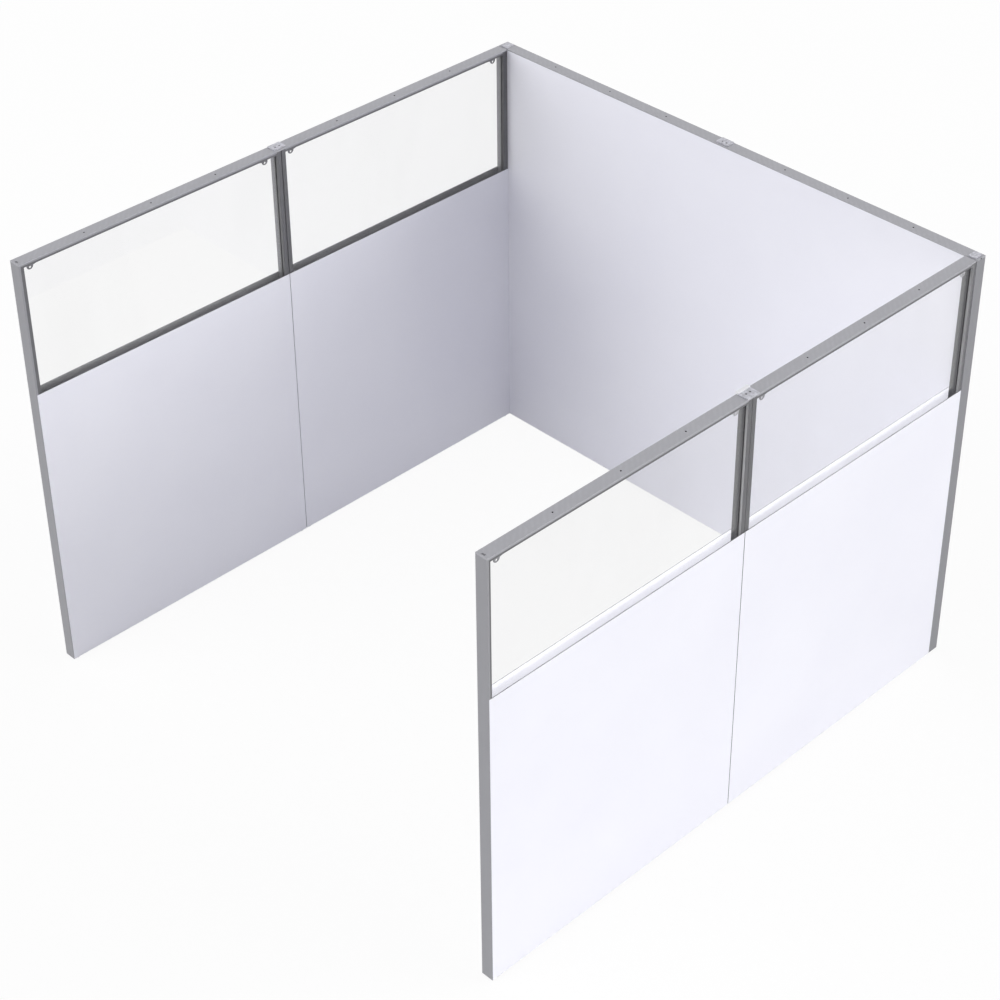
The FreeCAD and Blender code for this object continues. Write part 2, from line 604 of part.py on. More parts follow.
def clip_shape():
    """Give one clip: a round-ended tab with a wing, and a foot under the rail that reaches to the pane."""
    radius = size("clip_width") / 2
    sheet_thickness = size("clip_thickness")
    middle = radius - size("clip_drop")
    inwards = FreeCAD.Vector(0, -1, 0)
    disc = Part.makeCylinder(radius, sheet_thickness, FreeCAD.Vector(0, 0, middle), inwards)
    upper_half = Part.makeBox(2 * radius, sheet_thickness, radius,
                              FreeCAD.Vector(-radius, -sheet_thickness, middle))
    neck = Part.makeBox(2 * radius, sheet_thickness, -middle,
                        FreeCAD.Vector(-radius, -sheet_thickness, middle))
    corners = [FreeCAD.Vector(0, 0, 0), FreeCAD.Vector(radius + size("clip_wing"), 0, 0),
               FreeCAD.Vector(radius, 0, middle), FreeCAD.Vector(0, 0, middle)]
    wing = Part.Face(Part.makePolygon(corners + corners[:1])).extrude(inwards * sheet_thickness)
    hole_height = middle - radius / 2 + size("clip_thickness")
    hole = Part.makeCylinder(size("clip_hole_diameter") / 2, sheet_thickness,
                             FreeCAD.Vector(0, 0, hole_height), inwards)
    face_to_middle = size("wall_thickness") / 2 - size("skin_thickness")
    foot_depth = face_to_middle - size("glass_offset") - size("glass_thickness") / 2 - size("clip_clearance")
    foot = Part.makeBox(2 * radius, foot_depth, sheet_thickness,
                        FreeCAD.Vector(-radius, -foot_depth, -sheet_thickness))
    return disc.cut(upper_half).fuse([neck, wing]).cut(hole).fuse(foot).removeSplitter()


def make_clips():
    """Place two clips in each window, near its top corners, on the side that the pane is nearer to."""
    top = size("panel_height") - size("top_cap_thickness") - size("rail_width")
    inner_face = size("skin_thickness")
    outer_face = size("wall_thickness") - size("skin_thickness")
    turned = FreeCAD.Placement(FreeCAD.Vector(0, 0, 0), FreeCAD.Rotation(FreeCAD.Vector(0, 0, 1), FULL_TURN / 2))
    forwards = clip_shape()
    backwards = forwards.mirror(FreeCAD.Vector(0, 0, 0), FreeCAD.Vector(1, 0, 0))
    copies = []
    for bay in BAYS:
        if not bay.glazed:
            continue
        lead = size("end_cap_thickness") if bay.start_capped else 0
        tail = size("end_cap_thickness") if bay.end_capped else 0
        start_stile, end_stile = [size(name) for name in bay.stile_names]
        offsets = [size("clip_front_offset"), size("clip_rear_offset")]
        if bay.wall == "right":
            offsets.reverse()
        near = bay.order * size("bay_width") + lead + start_stile + offsets[0]
        far = (bay.order + 1) * size("bay_width") - tail - end_stile - offsets[1]
        for along, winged_forwards in ((near, True), (far, False)):
            copy = (forwards if winged_forwards == (bay.wall == "right") else backwards).copy()
            spot = wall_placement(bay.wall, along, outer_face, top)
            if bay.wall == "left":
                spot = wall_placement(bay.wall, along, inner_face, top).multiply(turned)
            copy.Placement = spot.multiply(copy.Placement)
            copies.append(copy)
    clips = doc.addObject("Part::Feature", "glazing_clips")
    clips.Label = "glazing_clips"
    clips.Shape = Part.makeCompound(copies)


# Plates on the top caps

def plate_body(label, length, width, holes):
    """Make a flat plate with rounded upright edges and counterbored holes."""
    body = new_body(label)
    outline = sketch_on(body, "outline", "XY_Plane")
    draw_rectangle(outline, ZERO, ZERO, length, width)
    pad = extrude(body, "Pad", outline, "Sizes.splice_thickness")
    if holes:
        through = sketch_on(body, "shank_holes", "XY_Plane")
        seats = sketch_on(body, "head_seats", "XY_Plane", "Sizes.splice_thickness")
        for across, up in holes:
            draw_circle(through, across, up, "Sizes.screw_shank_diameter + 2 * Sizes.screw_clearance")
            draw_circle(seats, across, up, "Sizes.screw_head_diameter + 2 * Sizes.screw_clearance")
        extrude(body, "Pocket", through, "Sizes.splice_thickness", backwards=True)
        pad = extrude(body, "Pocket", seats, "Sizes.counterbore_depth")
    doc.recompute()
    rounded = body.newObject("PartDesign::Fillet", body.Name + "_corners")
    corners = []
    for number, edge in enumerate(pad.Shape.Edges, start=1):
        upright = len(edge.Vertexes) == 2 and abs(edge.tangentAt(edge.FirstParameter).z) > 1 / 2
        if upright and edge.Curve.TypeId == "Part::GeomLine" and lies_on_corner(edge, pad.Shape.BoundBox):
            corners.append("Edge%d" % number)
    rounded.Base = (pad, corners)
    rounded.setExpression("Radius", "Sizes.plate_corner_radius")
    body.Tip = rounded
    return body


def lies_on_corner(edge, box):
    """Tell whether an upright edge is one of the four corners of a plate."""
    spot = edge.Vertexes[0].Point
    reach = size("plate_corner_radius")
    at_side = min(abs(spot.x - box.XMin), abs(spot.x - box.XMax)) < reach / 2
    at_end = min(abs(spot.y - box.YMin), abs(spot.y - box.YMax)) < reach / 2
    return at_side and at_end


def make_splice_plates():
    """Make the plates over the three seams, flush with the outer face of each wall."""
    holes = []
    for sign in ("-", "+"):
        across = "(Sizes.splice_length / 2 %s Sizes.end_screw_inset)" % sign
        holes.append((across, "(%s - (Sizes.wall_thickness - Sizes.splice_width))" % MID_DEPTH))
    plates = []
    for wall in WALL_TURNS:
        plate = plate_body("splice_plate_on_%s_wall" % wall, "Sizes.splice_length", "Sizes.splice_width", holes)
        stand_in_wall(plate, wall, along="(Sizes.bay_width - Sizes.splice_length / 2)",
                      depth="(Sizes.wall_thickness - Sizes.splice_width)", up="Sizes.panel_height")
        plates.append(plate)
    group = doc.addObject("Part::Compound", "splice_plates")
    group.Label = "splice_plates"
    group.Links = plates


def make_corner_plates():
    """Make the plates on the two back corners, each with a peg in the hole of its top cap below it."""
    plates = []
    length = "Sizes.corner_plate_length"
    near_end = "Sizes.corner_plate_inset"
    far_end = "(2 * Sizes.bay_width - Sizes.corner_plate_inset - %s)" % length
    for side, along in (("left", near_end), ("right", far_end)):
        body = plate_body("corner_plate_on_%s" % side, length, "Sizes.splice_width", ())
        spigot = sketch_on(body, "spigot", "XY_Plane")
        draw_circle(spigot, "(%s / 2)" % length, "(Sizes.splice_width / 2)", "Sizes.spigot_diameter")
        body.Tip = extrude(body, "Pad", spigot, "Sizes.spigot_length", backwards=True)
        stand_in_wall(body, "back", along=along, depth="(Sizes.wall_thickness - Sizes.splice_width) / 2",
                      up="Sizes.panel_height")
        plates.append(body)
    group = doc.addObject("Part::Compound", "corner_plates")
    group.Label = "corner_plates"
    group.Links = plates


def make_hook_block():
    """Make the block that hooks over the inner edge of the right-hand wall at its seam."""
    body = new_body("hook_over_block")
    section = sketch_on(body, "section", "YZ_Plane")
    ledge = "(Sizes.wall_thickness - Sizes.splice_width - Sizes.hook_clearance)"
    draw_polygon(section, (
        (ZERO, "-Sizes.hook_drop"), (ZERO, ZERO), (ledge, ZERO), (ledge, "Sizes.hook_rise"),
        ("-Sizes.hook_overhang", "Sizes.hook_rise"), ("-Sizes.hook_overhang", "-Sizes.hook_drop"),
    ))
    pad = extrude(body, "Pad", section, "Sizes.hook_length")
    doc.recompute()
    rounded = body.newObject("PartDesign::Fillet", "hook_rounding")
    edges = []
    for number, edge in enumerate(pad.Shape.Edges, start=1):
        box = edge.BoundBox
        along = box.XLength > size("hook_length") / 2
        outside = abs(box.YMin + size("hook_overhang")) < size("hook_clearance")
        crown = abs(box.ZMax - size("hook_rise")) < size("hook_clearance")
        if along and (outside or crown):
            edges.append("Edge%d" % number)
    rounded.Base = (pad, edges)
    rounded.setExpression("Radius", "Sizes.hook_rounding")
    body.Tip = rounded
    stand_in_wall(body, "right", along="(Sizes.bay_width - Sizes.hook_length / 2)", up="Sizes.panel_height")


# Fasteners

def screw_shape(shank_length):
    """Give a screw that points down, with the underside of its head at the origin."""
    head = Part.makeCylinder(size("screw_head_diameter") / 2, size("screw_head_height"))
    down = FreeCAD.Vector(0, 0, -1)
    shank = Part.makeCylinder(size("screw_shank_diameter") / 2, shank_length, FreeCAD.Vector(0, 0, 0), down)
    return head.fuse(shank).removeSplitter()


def make_cap_screws():
    """Place the screws of the top caps and splice plates."""
    middle = size("wall_thickness") / 2
    bay_width = size("bay_width")
    inset = size("end_screw_inset")
    seat = size("counterbore_depth")
    web = size("rail_width") - size("groove_depth")
    cap_bite = size("top_cap_thickness") - seat + web
    splice_bite = size("splice_thickness") - seat + size("top_cap_thickness") + web
    cap_screw = screw_shape(cap_bite)
    splice_screw = screw_shape(splice_bite)
    copies = []

    def place(screw, wall, along, up):
        copy = screw.copy()
        copy.Placement = wall_placement(wall, along, middle, up)
        copies.append(copy)

    cap_seat = size("panel_height") - seat
    splice_seat = size("panel_height") + size("splice_thickness") - seat
    for wall in WALL_TURNS:
        place(splice_screw, wall, bay_width - inset, splice_seat)
        place(splice_screw, wall, bay_width + inset, splice_seat)
    place(cap_screw, "left", inset, cap_seat)
    place(cap_screw, "right", 2 * bay_width - inset, cap_seat)
    screws = doc.addObject("Part::Feature", "cap_screws")
    screws.Label = "cap_screws"
    screws.Shape = Part.makeCompound(copies)


def bolt_shape(shank_length):
    """Give a bolt that points along +x, with the underside of its head at the origin."""
    forwards = FreeCAD.Vector(1, 0, 0)
    tail = FreeCAD.Vector(-size("bolt_head_height"), 0, 0)
    head = Part.makeCylinder(size("bolt_head_diameter") / 2, size("bolt_head_height"), tail, forwards)
    shank = Part.makeCylinder(size("bolt_diameter") / 2, shank_length, FreeCAD.Vector(0, 0, 0), forwards)
    return head.fuse(shank).removeSplitter()


def make_connector_bolts():
    """Place the bolts through the stiles at the three seams and the two back corners."""
    middle = size("wall_thickness") / 2
    web = size("stile_width") - size("groove_depth")
    narrow_web = size("rail_width") - size("groove_depth")
    past_web = size("skin_thickness") + size("corner_bolt_bite")
    seam_bolt = bolt_shape(2 * web)
    left_bolt = bolt_shape(web + past_web)
    right_bolt = bolt_shape(narrow_web + past_web)
    turned = FreeCAD.Placement(FreeCAD.Vector(0, 0, 0), FreeCAD.Rotation(FreeCAD.Vector(0, 0, 1), FULL_TURN / 2))
    sill_base = size("ledge_height") - size("pocket_depth") - size("sill_height")
    span = sill_base - size("bolt_sill_drop") - size("bolt_first_height")
    copies = []
    for index in range(BOLT_COUNT):
        height = size("bolt_first_height") + index * span / (BOLT_COUNT - 1)
        for wall in WALL_TURNS:
            copy = seam_bolt.copy()
            copy.Placement = wall_placement(wall, size("bay_width") - web, middle, height)
            copies.append(copy)
        left = left_bolt.copy()
        left.Placement = wall_placement("left", 2 * size("bay_width") - web, middle, height)
        right = right_bolt.copy()
        right.Placement = wall_placement("right", narrow_web, middle, height).multiply(turned)
        copies += [left, right]
    bolts = doc.addObject("Part::Feature", "connector_bolts")
    bolts.Label = "connector_bolts"
    bolts.Shape = Part.makeCompound(copies)


# Levelling glides

def make_glide(bay, end, along):
    """Make one glide: a round foot, a shoulder that stops on the bottom rail and a threaded stem."""
    body = new_body("glide_%s_%s" % (bay.name, end))
    profile = sketch_on(body, "profile", "XZ_Plane")
    foot = "(Sizes.pad_diameter / 2)"
    bevel_edge = "(Sizes.pad_diameter / 2 - Sizes.pad_chamfer)"
    shoulder = "(Sizes.collar_diameter / 2)"
    stem = "(Sizes.stem_diameter / 2)"
    tip = "(Sizes.base_height + Sizes.stem_length)"
    draw_polygon(profile, (
        (ZERO, ZERO), (foot, ZERO), (foot, "(Sizes.pad_height - Sizes.pad_chamfer)"),
        (bevel_edge, "Sizes.pad_height"), (shoulder, "Sizes.pad_height"), (shoulder, "Sizes.base_height"),
        (stem, "Sizes.base_height"), (stem, tip), (ZERO, tip),
    ))
    turned = body.newObject("PartDesign::Revolution", body.Name + "_turned")
    turned.Profile = (profile, [""])
    turned.ReferenceAxis = (profile, ["V_Axis"])
    turned.Angle = FULL_TURN
    stand_in_wall(body, bay.wall, along="(%s + %s)" % (bay.start, along), depth=MID_DEPTH,
                  up="-Sizes.base_height")


# Assembly

for bay in BAYS:
    make_frame(bay)
    make_core(bay)
    make_top_cap(bay)
    make_glide(bay, "start", "Sizes.glide_inset")
    make_glide(bay, "end", "%s - Sizes.glide_inset" % bay.length)
    if bay.glazed:
        make_side_skins(bay)
        make_pane(bay)
        make_gasket(bay)
make_back_skins()
LAST_END = "(2 * Sizes.bay_width - Sizes.end_cap_thickness)"
make_end_cap("end_cap_left_front", "left", ZERO, flange_side="after")
make_end_cap("end_cap_right_front", "right", LAST_END, flange_side="before")
make_end_cap("end_cap_back_left", "back", ZERO)
make_end_cap("end_cap_back_right", "back", LAST_END)
make_splice_plates()
make_corner_plates()
make_hook_block()
make_clips()
make_cap_screws()
make_connector_bolts()
doc.recompute()

# Checks before anything is written

for item in doc.Objects:
    for word in ("Invalid", "Error"):
        if word in item.State:
            raise RuntimeError("%s is in state %s" % (item.Label, item.State))


def is_sub_part(item):
    """Tell a sub-part from the pieces that it is grouped from."""
    kinds = ("PartDesign::Body", "Part::Box", "Part::Compound", "Part::Feature")
    return item.TypeId in kinds and not any(user.TypeId == "Part::Compound" for user in item.InList)


sub_parts = [item for item in doc.Objects if is_sub_part(item)]
for item in sub_parts:
    if item.Shape.isNull() or not item.Shape.isValid() or not item.Shape.Solids:
        raise RuntimeError("%s has no valid solid" % item.Label)

os.makedirs("parts", exist_ok=True)
for item in sub_parts:
    item.Shape.exportStep("parts/%s.step" % item.Label)
    print("%-34s solids %2d  volume %12.0f" % (item.Label, len(item.Shape.Solids), item.Shape.Volume))
whole = Part.makeCompound([item.Shape for item in sub_parts]).BoundBox
print("%d sub-parts, box %.1f x %.1f x %.1f" % (len(sub_parts), whole.XLength, whole.YLength, whole.ZLength))
print("x %.2f..%.2f  y %.2f..%.2f  z %.2f..%.2f" % (whole.XMin, whole.XMax, whole.YMin, whole.YMax,
                                                    whole.ZMin, whole.ZMax))
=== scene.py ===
import json
import math

import bmesh
import bpy
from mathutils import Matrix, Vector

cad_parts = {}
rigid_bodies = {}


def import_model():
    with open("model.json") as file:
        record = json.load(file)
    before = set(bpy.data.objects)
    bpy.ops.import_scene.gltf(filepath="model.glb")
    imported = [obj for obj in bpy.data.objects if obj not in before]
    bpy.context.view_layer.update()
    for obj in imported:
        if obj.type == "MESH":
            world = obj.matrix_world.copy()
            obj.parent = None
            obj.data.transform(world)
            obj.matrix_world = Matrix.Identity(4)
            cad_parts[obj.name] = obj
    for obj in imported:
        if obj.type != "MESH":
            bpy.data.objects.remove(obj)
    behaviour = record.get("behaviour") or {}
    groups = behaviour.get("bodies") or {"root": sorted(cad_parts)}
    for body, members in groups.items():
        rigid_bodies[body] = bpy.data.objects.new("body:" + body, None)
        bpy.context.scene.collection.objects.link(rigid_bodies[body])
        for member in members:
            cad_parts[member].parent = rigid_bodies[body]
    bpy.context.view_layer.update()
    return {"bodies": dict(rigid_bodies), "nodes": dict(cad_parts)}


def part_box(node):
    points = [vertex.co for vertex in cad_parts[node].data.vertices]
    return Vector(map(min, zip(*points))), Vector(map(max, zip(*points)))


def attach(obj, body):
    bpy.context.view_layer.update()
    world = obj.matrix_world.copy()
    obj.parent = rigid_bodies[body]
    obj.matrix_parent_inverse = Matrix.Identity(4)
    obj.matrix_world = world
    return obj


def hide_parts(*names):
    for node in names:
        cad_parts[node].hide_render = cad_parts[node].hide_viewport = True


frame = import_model()
NODES = frame["nodes"]

BAYS = ("left_front", "left_rear", "back_left", "back_right", "right_rear", "right_front")
GLAZED = ("left_front", "left_rear", "right_rear", "right_front")
GLIDES = [name for name in frame["bodies"] if name.startswith("glide_")]

MM = 0.001

# Places on the walls, in metres from the middle of the footprint

SIDE_MIDDLE = 1.1938
BACK_MIDDLE = 1.2192
SEAM_MIDDLE = -0.0254
STILE_WIDTH = 21 * MM
CORNER_STILES = 1.168
RAIL_BOTTOM = 1.8243
FRONT_ENDS = -1.2
PANE_MIDDLE = {"left": -1.1863, "right": 1.2013}
SUNK_FACES = {"left": (-1.2145, -1.173), "right": (1.173, 1.2145)}
BORE_RADIUS = 4.2 * MM
# Spans along the right wall where the clips are painted paler, as painted light.
PAINTED_LIGHT_CLIPS_PAST_SEAM = (-0.16, -0.06)
PAINTED_LIGHT_CLIPS_AT_CORNER = 1.0


def srgb(red, green, blue):
    """Turn display values of 0 to 255 into the linear colour that a shader takes."""
    colour = []
    for value in (red, green, blue):
        share = value / 255
        colour.append(share / 12.92 if share <= 0.04045 else ((share + 0.055) / 1.055) ** 2.4)
    return colour + [1.0]


def grey(value, blue=0):
    """Give a grey display value, a little bluer by the second number."""
    return srgb(value, value, min(255, value + blue))


PURE_WHITE = (1.0, 1.0, 1.0, 1.0)
PURE_BLACK = (0.0, 0.0, 0.0, 1.0)


def join(tree, source, target):
    """Feed a socket with another socket or a plain value."""
    if isinstance(source, bpy.types.NodeSocket):
        tree.links.new(source, target)
    else:
        target.default_value = source


def work_out(tree, operation, first, second=0.0):
    """Work out one number from two."""
    node = tree.nodes.new("ShaderNodeMath")
    node.operation = operation
    join(tree, first, node.inputs[0])
    join(tree, second, node.inputs[1])
    return node.outputs[0]


# Materials

class Surface:
    """One procedural material: a principled shader with the nodes that feed it."""

    STEP = 0.2 * MM
    STEEPNESS = (0.6, 0.8)
    SHARPNESS = (0.02, 0.25)

    def __init__(self, name, roughness, metallic=0.0, **sockets):
        self.material = bpy.data.materials.new(name)
        self.material.use_nodes = True
        self.tree = self.material.node_tree
        self.shader = self.tree.nodes["Principled BSDF"]
        self.output = self.tree.nodes["Material Output"]
        self.shader.inputs["Roughness"].default_value = roughness
        self.shader.inputs["Metallic"].default_value = metallic
        for socket, value in sockets.items():
            self.shader.inputs[socket.replace("_", " ")].default_value = value
        places = self.add("ShaderNodeTexCoord")
        self.place = places.outputs["Object"]
        self.direction = places.outputs["Normal"]

    def add(self, kind, **fields):
        """Add a node and set its fields."""
        node = self.tree.nodes.new(kind)
        for field, value in fields.items():
            setattr(node, field, value)
        return node

    def join(self, source, target):
        """Feed a socket of this material."""
        join(self.tree, source, target)

    def math(self, operation, first, second=0.0):
        """Work out one number from two in this material."""
        return work_out(self.tree, operation, first, second)

    def span(self, value, low, high, to_low=0.0, to_high=1.0):
        """Stretch a range of values to another, and clip at its ends."""
        node = self.add("ShaderNodeMapRange")
        for index, item in enumerate((value, low, high, to_low, to_high)):
            self.join(item, node.inputs[index])
        return node.outputs[0]

    def part(self, vector, axis):
        """Give one of the three numbers of a vector."""
        split = self.add("ShaderNodeSeparateXYZ")
        self.join(vector, split.inputs[0])
        return split.outputs["xyz".index(axis)]

    def beyond(self, axis, place):
        """Give 1 beyond a place along an axis and 0 before it, with a narrow step between."""
        return self.span(self.part(self.place, axis), place - self.STEP / 2, place + self.STEP / 2)

    def before(self, axis, place):
        """Give 0 beyond a place along an axis and 1 before it."""
        return self.math("SUBTRACT", 1.0, self.beyond(axis, place))

    def faces(self, axis, sign=0):
        """Give 1 on the faces that look along an axis, both ways or towards one sign only."""
        along = self.part(self.direction, axis)
        along = self.math("MULTIPLY", along, sign) if sign else self.math("ABSOLUTE", along)
        return self.span(along, *self.STEEPNESS)

    def noise(self, scale, detail, stretch=(1, 1, 1), shift=0.0):
        """Give a noise with so many features to the metre, drawn out along an axis by a small stretch."""
        mapping = self.add("ShaderNodeMapping")
        self.join(self.place, mapping.inputs["Vector"])
        mapping.inputs["Scale"].default_value = stretch
        mapping.inputs["Location"].default_value = (shift, shift, shift)
        node = self.add("ShaderNodeTexNoise")
        self.join(mapping.outputs[0], node.inputs["Vector"])
        node.inputs["Scale"].default_value = scale
        node.inputs["Detail"].default_value = detail
        return node.outputs["Fac"]

    def patches(self, low, high, to_low=0.0, to_high=1.0, **noise):
        """Give a noise with its middle range stretched to another."""
        return self.span(self.noise(**noise), low, high, to_low, to_high)

    def blend(self, factor, first, second):
        """Mix two colours."""
        node = self.add("ShaderNodeMix", data_type="RGBA")
        self.join(factor, node.inputs["Factor"])
        self.join(first, node.inputs[6])
        self.join(second, node.inputs[7])
        return node.outputs[2]

    def edges(self, radius):
        """Give 1 near a sharp edge and 0 on flat faces."""
        rounded = self.add("ShaderNodeBevel", samples=4)
        rounded.inputs["Radius"].default_value = radius
        flat = self.add("ShaderNodeNewGeometry").outputs["Normal"]
        product = self.add("ShaderNodeVectorMath", operation="DOT_PRODUCT")
        self.join(rounded.outputs[0], product.inputs[0])
        self.join(flat, product.inputs[1])
        return self.span(self.math("SUBTRACT", 1.0, product.outputs["Value"]), *self.SHARPNESS)

    def paint(self, colour):
        """Feed the base colour."""
        self.join(colour, self.shader.inputs["Base Color"])

    def gloss(self, value):
        """Feed the roughness."""
        self.join(value, self.shader.inputs["Roughness"])

    def relief(self, height, depth, strength):
        """Raise the surface by a height map."""
        bump = self.add("ShaderNodeBump")
        bump.inputs["Strength"].default_value = strength
        bump.inputs["Distance"].default_value = depth
        self.join(height, bump.inputs["Height"])
        self.join(bump.outputs[0], self.shader.inputs["Normal"])


WHITE = grey(239, 8)
SHADE = grey(235, 9)
WORN_LAMINATE = grey(196, 6)
PALE_EDGE = grey(92, 3)
DARK_EDGE = grey(104, 2)
CORE = grey(142, 3)


def laminate(name, edge, outside=None):
    """White laminate sheet with a darker edge.

    outside is the axis and sign of its only white face, if it has just one.
    """
    made = Surface(name, roughness=0.42)
    cloud = made.patches(0.35, 0.65, scale=1.7, detail=4.0)
    speck = made.patches(0.3, 0.7, scale=380.0, detail=2.0, shift=3.0)
    mottled = made.math("ADD", made.math("MULTIPLY", cloud, 0.7), made.math("MULTIPLY", speck, 0.3))
    colour = made.blend(mottled, SHADE, WHITE)
    rubbing = made.patches(0.4, 0.7, 0.1, 0.5, scale=24.0, detail=4.0, shift=7.0)
    worn = made.math("MULTIPLY", made.edges(1.2 * MM), rubbing)
    colour = made.blend(worn, colour, WORN_LAMINATE)
    bare = made.patches(0.3, 0.7, 0.0, 0.1, scale=160.0, detail=3.0, shift=15.0)
    if outside:
        colour = made.blend(made.faces(*outside), made.blend(bare, CORE, WHITE), colour)
    made.paint(made.blend(made.faces("z"), colour, made.blend(bare, edge, WHITE)))
    made.gloss(made.patches(0.3, 0.7, 0.36, 0.5, scale=9.0, detail=5.0, shift=11.0))
    made.relief(made.noise(scale=900.0, detail=2.0), depth=0.05 * MM, strength=0.5)
    return made.material


def metal_grain(made, grain):
    """Give the fine lines that a drawn or brushed metal has along one axis."""
    stretch = [0.03 if axis == grain else 1.0 for axis in "xyz"]
    return made.patches(0.3, 0.7, scale=1400.0, detail=2.0, stretch=stretch)


def finish_metal(made, lines, colour, worn, roughness, edge=0.8 * MM, clouding=0.07):
    """Lay grain, clouding, rubbed edges, gloss and relief over a metal's colour."""
    cloud = made.patches(0.3, 0.7, scale=5.0, detail=4.0, shift=5.0)
    mottled = made.math("ADD", made.math("MULTIPLY", lines, 0.5), made.math("MULTIPLY", cloud, 0.5))
    shaded = made.blend(made.span(mottled, 0.0, 1.0, clouding, 0.0), colour, PURE_BLACK)
    rubbing = made.patches(0.35, 0.7, 0.15, 0.8, scale=60.0, detail=4.0, shift=9.0)
    rubbed = made.math("MULTIPLY", made.edges(edge), rubbing)
    made.paint(made.blend(rubbed, shaded, worn))
    made.gloss(made.span(lines, 0.0, 1.0, roughness - 0.05, roughness + 0.08))
    made.relief(lines, depth=0.02 * MM, strength=0.35)
    return made.material


def metal(name, base, worn, metallic, roughness, grain="z", edge=0.8 * MM):
    """Satin metal of one colour."""
    made = Surface(name, roughness, metallic)
    return finish_metal(made, metal_grain(made, grain), base, worn, roughness, edge)


FRAME_ROUGHNESS = 0.48
FRAME_METALLIC = 0.3
WORN_FRAME = grey(160, 3)


def painted_light_frame(wall, face, rail_painted_lighter, sunk_tone_painted_light, lip_behind_pane_painted_light, lip_before_pane_painted_light, corner_face_painted_lighter, corner_lip_painted_shade):
    """Frame of a glazed wall, with painted light: its faces, the shadow gap at the seam and the lips beside
    the pane take tones set per wall for how light falls there, the top rail is painted lighter, the lips on
    the two sides of the pane in painted lighter and darker tones, and by the back corner the faces painted
    lighter and the lips with painted shade.
    """
    made = Surface("frame_" + wall, FRAME_ROUGHNESS, FRAME_METALLIC)
    # Painted light: by the back corner the stiles' faces are painted lighter and the lips before the pane
    # darker, for how the light falls there.
    corner_painted_light_mask = made.beyond("y", CORNER_STILES)
    lip_before_pane_painted_light = made.blend(corner_painted_light_mask, lip_before_pane_painted_light, corner_lip_painted_shade)
    from_seam = made.math("ABSOLUTE", made.math("SUBTRACT", made.part(made.place, "y"), SEAM_MIDDLE))
    past_stiles = made.span(from_seam, STILE_WIDTH, STILE_WIDTH + 1 * MM)
    # Painted light: the faces of the top rail are painted lighter than those of the stiles.
    painted_light_rail_mask = made.math("MULTIPLY", made.beyond("z", RAIL_BOTTOM), past_stiles)
    face = made.blend(corner_painted_light_mask, made.blend(painted_light_rail_mask, face, rail_painted_lighter), corner_face_painted_lighter)
    # Painted light: the sunk faces and the lips on the two sides of the pane take tones set per wall for how
    # light falls there, on the right wall a painted highlight before the pane and painted shade behind it.
    low, high = SUNK_FACES[wall]
    sunk = made.math("MULTIPLY", made.beyond("x", low), made.before("x", high))
    lip_painted_light = made.blend(made.beyond("x", PANE_MIDDLE[wall]), lip_behind_pane_painted_light, lip_before_pane_painted_light)
    colour = made.blend(made.faces("x"), lip_painted_light, made.blend(sunk, face, sunk_tone_painted_light))
    return finish_metal(made, metal_grain(made, "z"), colour, WORN_FRAME, FRAME_ROUGHNESS)


def plate_metal(name, base, shade, grain):
    """Pale plate with broad blotches of wear."""
    roughness = 0.4
    made = Surface(name, roughness, metallic=0.2)
    blotch = made.patches(0.38, 0.62, scale=95.0, detail=3.0, shift=13.0)
    colour = made.blend(blotch, shade, base)
    lines = metal_grain(made, grain)
    return finish_metal(made, lines, colour, grey(240, 4), roughness, edge=0.7 * MM, clouding=0.04)


def cap_metal(name, base, streak, worn, grain, middle):
    """Top cap: satin metal with faint slanting streaks, and painted shade, near black, on the faces along its
    middle line other than the top, which are the walls of its bores.
    """
    roughness = 0.45
    made = Surface(name, roughness, metallic=0.35)
    across = "x" if grain == "y" else "y"
    off_middle = made.math("SUBTRACT", made.math("ABSOLUTE", made.part(made.place, across)), middle)
    # Painted shade: every face along the middle line but the top, that is the walls of the bores, is painted
    # near black.
    painted_shade_in_bore = made.math("LESS_THAN", made.math("ABSOLUTE", off_middle), BORE_RADIUS)
    painted_shade_in_bore = made.math("MULTIPLY", painted_shade_in_bore, made.math("SUBTRACT", 1.0, made.faces("z")))
    painted_shade_in_bore = made.math("MULTIPLY", painted_shade_in_bore, made.beyond("y", FRONT_ENDS))
    slanted = made.add("ShaderNodeTexWave", wave_type="BANDS", bands_direction="DIAGONAL")
    made.join(made.place, slanted.inputs["Vector"])
    for socket, value in (("Scale", 24.0), ("Distortion", 1.5), ("Detail", 2.0), ("Detail Scale", 2.0)):
        slanted.inputs[socket].default_value = value
    broken = made.patches(0.35, 0.65, scale=40.0, detail=3.0, shift=17.0)
    colour = made.blend(made.math("MULTIPLY", slanted.outputs["Fac"], broken), base, streak)
    colour = made.blend(painted_shade_in_bore, colour, grey(40, 1))
    return finish_metal(made, metal_grain(made, grain), colour, worn, roughness)


